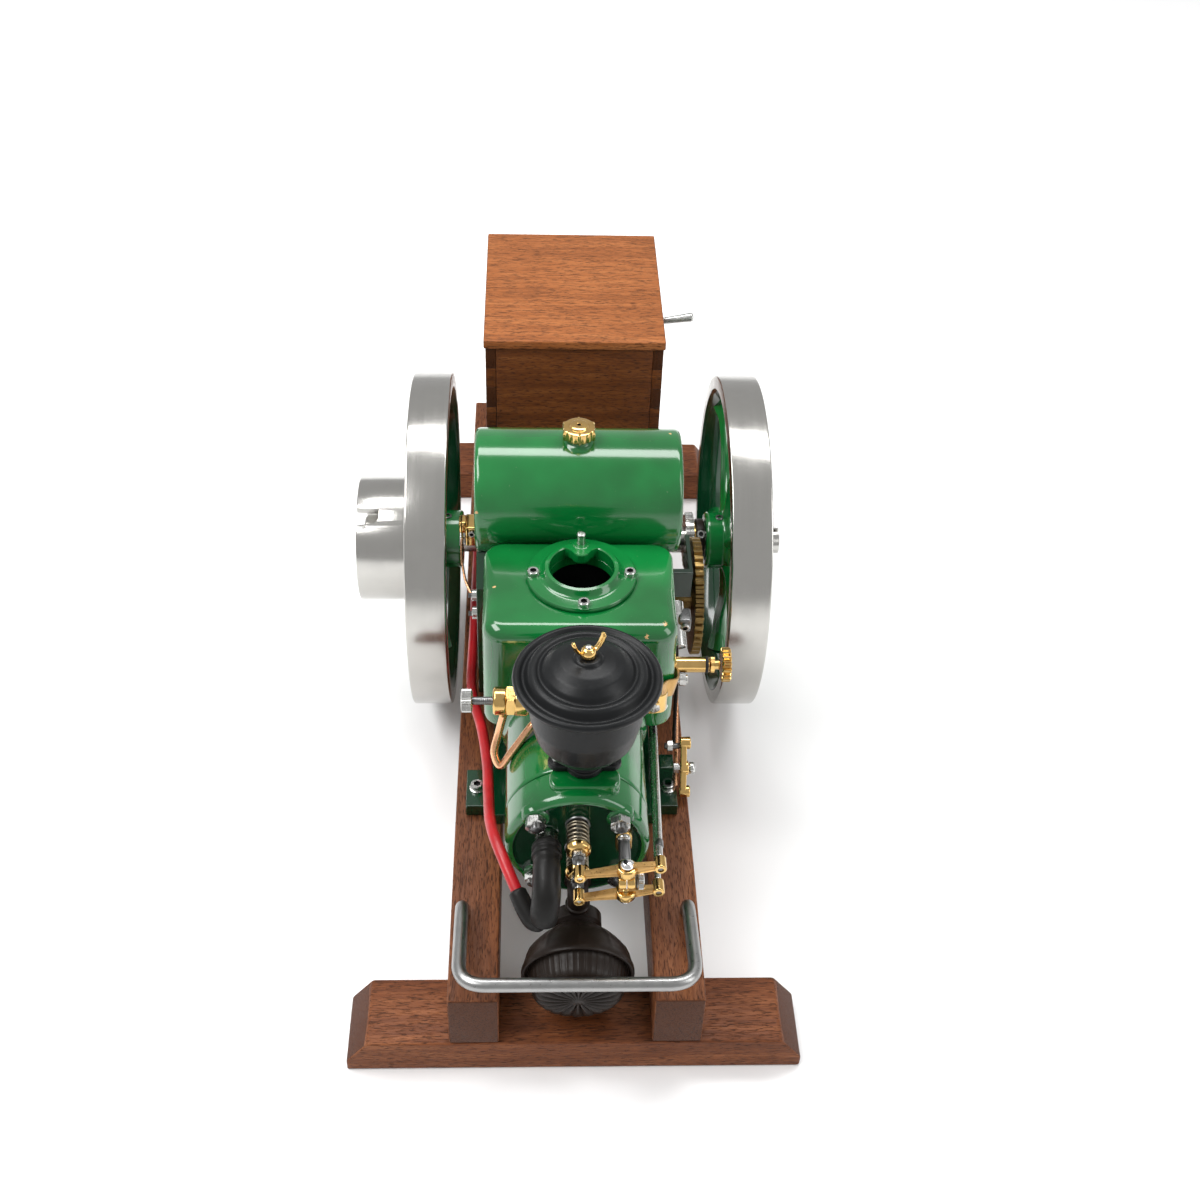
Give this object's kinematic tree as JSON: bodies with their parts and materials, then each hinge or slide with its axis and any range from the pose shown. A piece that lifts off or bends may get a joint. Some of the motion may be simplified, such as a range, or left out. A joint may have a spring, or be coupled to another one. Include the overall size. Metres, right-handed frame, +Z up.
{
  "type": "model hit and miss engine",
  "caption": "Horizontal model stationary engine with two spoked flywheels, water hopper, fuel tank and open valve gear, on a wooden skid base with an ignition box.",
  "frame": {"origin": "middle of the whole width and length, at the underside of the skids", "axes": "+Z up, +Y from the cylinder head end towards the wooden ignition box, +X towards the side of the gears and switch"},
  "size_m": [0.1608, 0.332, 0.1473],
  "materials": {
    "wood": "oiled reddish hardwood with open grain",
    "green_enamel": "gloss enamel",
    "bright_steel": "turned and polished",
    "dark_iron": "machined",
    "brass": "polished",
    "copper": "drawn copper",
    "satin_black": "satin black",
    "boot_rubber": "moulded",
    "red_lead": "smooth silicone sleeve",
    "module_plastic": "moulded",
    "battery_case": "moulded"
  },
  "bodies": {
    "frame": {"left_rail": "wood", "right_rail": "wood", "front_skid": "wood", "rear_skid": "wood", "tow_handle": "bright_steel", "ignition_box": "wood", "battery_pack": "battery_case", "ignition_module": "module_plastic", "toggle_switch": "bright_steel", "engine_bed": "green_enamel", "bearing_cap_left": "green_enamel", "bearing_cap_right": "green_enamel", "water_hopper": "green_enamel", "cylinder_liner": "dark_iron", "hopper_collar": "green_enamel", "fuel_tank": "green_enamel", "cylinder_head": "green_enamel", "head_nut_1": "bright_steel", "head_nut_2": "bright_steel", "head_nut_3": "bright_steel", "head_nut_4": "bright_steel", "intake_spring": "bright_steel", "exhaust_spring": "bright_steel", "rocker_post": "brass", "spark_plug": "bright_steel", "plug_boot": "boot_rubber", "ignition_lead": "red_lead", "mixer_body": "satin_black", "air_cleaner_bowl": "satin_black", "air_cleaner_lid": "satin_black", "needle_fitting": "brass", "fuel_pipe": "copper", "exhaust_elbow": "dark_iron", "muffler": "satin_black", "latch_bolt": "bright_steel", "grease_cup": "brass"},
    "lid": {"box_lid": "wood"},
    "toggle": {"toggle_lever": "bright_steel"},
    "crankshaft": {"crank_left": "bright_steel", "crank_right": "bright_steel", "flywheel_left": "bright_steel", "flywheel_right": "bright_steel", "belt_pulley": "bright_steel", "crank_pinion": "bright_steel"},
    "camshaft": {"cam_gear": "brass"},
    "piston_body": {"piston": "bright_steel"},
    "rod": {"connecting_rod": "bright_steel", "gudgeon_pin": "bright_steel"},
    "intake_rocker": {"rocker_upper": "brass"},
    "exhaust_rocker": {"rocker_lower": "brass"},
    "intake_valve_body": {"intake_valve": "brass"},
    "exhaust_valve_body": {"exhaust_valve": "brass"},
    "intake_pushrod": {"pushrod_upper": "bright_steel"},
    "exhaust_pushrod": {"pushrod_lower": "bright_steel"},
    "filler_cap": {"tank_cap": "brass"},
    "wing": {"wing_nut": "brass"},
    "needle": {"needle_valve": "bright_steel"},
    "grease_knob": {"grease_cup_knob": "brass"},
    "latch": {"latch_lever": "brass"},
    "detent": {"detent_rod": "copper"}
  },
  "joints": [
    {"name": "crank_spin", "type": "hinge", "parent": "frame", "child": "crankshaft", "pos_m": [-0.0006, 0.02703, 0.0686], "axis": [1, 0, 0], "continuous": true},
    {"name": "cam_spin", "type": "hinge", "parent": "frame", "child": "camshaft", "pos_m": [-0.0006, -0.00598, 0.0686], "axis": [1, 0, 0], "continuous": true},
    {"name": "piston_slide", "type": "slide", "parent": "frame", "child": "piston_body", "axis": [0, 1, 0], "range_m": [0, 0.032]},
    {"name": "rod_swing", "type": "hinge", "parent": "piston_body", "child": "rod", "pos_m": [-0.0006, -0.09198, 0.0686], "axis": [1, 0, 0], "range_deg": [-9, 9]},
    {"name": "intake_rocker_swing", "type": "hinge", "parent": "frame", "child": "intake_rocker", "pos_m": [0.0138, -0.14597, 0.0816], "axis": [0, 0, -1], "range_deg": [0, 8]},
    {"name": "intake_valve_slide", "type": "slide", "parent": "frame", "child": "intake_valve_body", "axis": [0, 1, 0], "range_m": [0, 0.002], "deforming": ["intake_spring"]},
    {"name": "intake_pushrod_slide", "type": "slide", "parent": "frame", "child": "intake_pushrod", "axis": [-0.0426, -0.9847, 0.1687], "range_m": [0, 0.00138], "stiffness_N_per_m": 60},
    {"name": "exhaust_rocker_swing", "type": "hinge", "parent": "frame", "child": "exhaust_rocker", "pos_m": [0.0138, -0.14597, 0.0706], "axis": [0, 0, -1], "range_deg": [0, 8]},
    {"name": "exhaust_valve_slide", "type": "slide", "parent": "frame", "child": "exhaust_valve_body", "axis": [0, 1, 0], "range_m": [0, 0.002], "deforming": ["exhaust_spring"]},
    {"name": "exhaust_pushrod_slide", "type": "slide", "parent": "frame", "child": "exhaust_pushrod", "axis": [-0.0426, -0.9847, 0.1687], "range_m": [0, 0.00138], "stiffness_N_per_m": 60},
    {"name": "tank_cap_turn", "type": "hinge", "parent": "frame", "child": "filler_cap", "pos_m": [0.0007, -0.00768, 0.1408], "axis": [0, 0, 1], "range_deg": [0, 300]},
    {"name": "wing_nut_turn", "type": "hinge", "parent": "frame", "child": "wing", "pos_m": [0.0014, -0.11367, 0.14], "axis": [0, 0, 1], "range_deg": [0, 340]},
    {"name": "needle_turn", "type": "hinge", "parent": "frame", "child": "needle", "pos_m": [-0.0306, -0.09148, 0.0988], "axis": [1, 0, 0], "range_deg": [0, 340]},
    {"name": "grease_knob_turn", "type": "hinge", "parent": "frame", "child": "grease_knob", "pos_m": [0.0514, -0.05498, 0.08], "axis": [1, 0, 0], "range_deg": [0, 340]},
    {"name": "toggle_flip", "type": "hinge", "parent": "frame", "child": "toggle", "pos_m": [0.0359, 0.11803, 0.1105], "axis": [0, 1, 0], "range_deg": [0, 18.9]},
    {"name": "lid_hinge", "type": "hinge", "parent": "frame", "child": "lid", "pos_m": [0.0014, 0.16603, 0.12015], "axis": [-1, 0, 0], "range_deg": [0, 85]},
    {"name": "latch_swing", "type": "hinge", "parent": "frame", "child": "latch", "pos_m": [0.0376, -0.07397, 0.0482], "axis": [1, 0, 0], "range_deg": [-8, 8]},
    {"name": "detent_slide", "type": "slide", "parent": "frame", "child": "detent", "axis": [0.0398, 0.9113, 0.4099], "range_m": [-0.00063, 0.00063]}
  ],
  "couplings": [
    {"joint": "cam_spin", "follows": "crank_spin", "ratio": -0.5},
    {"joint": "intake_rocker_swing", "follows": "intake_pushrod_slide", "rad_per_m": 101.01},
    {"joint": "intake_valve_slide", "follows": "intake_pushrod_slide", "ratio": 1.4343},
    {"joint": "exhaust_rocker_swing", "follows": "exhaust_pushrod_slide", "rad_per_m": 101.01},
    {"joint": "exhaust_valve_slide", "follows": "exhaust_pushrod_slide", "ratio": 1.4343},
    {"joint": "latch_swing", "follows": "detent_slide", "rad_per_m": 222.2}
  ]
}
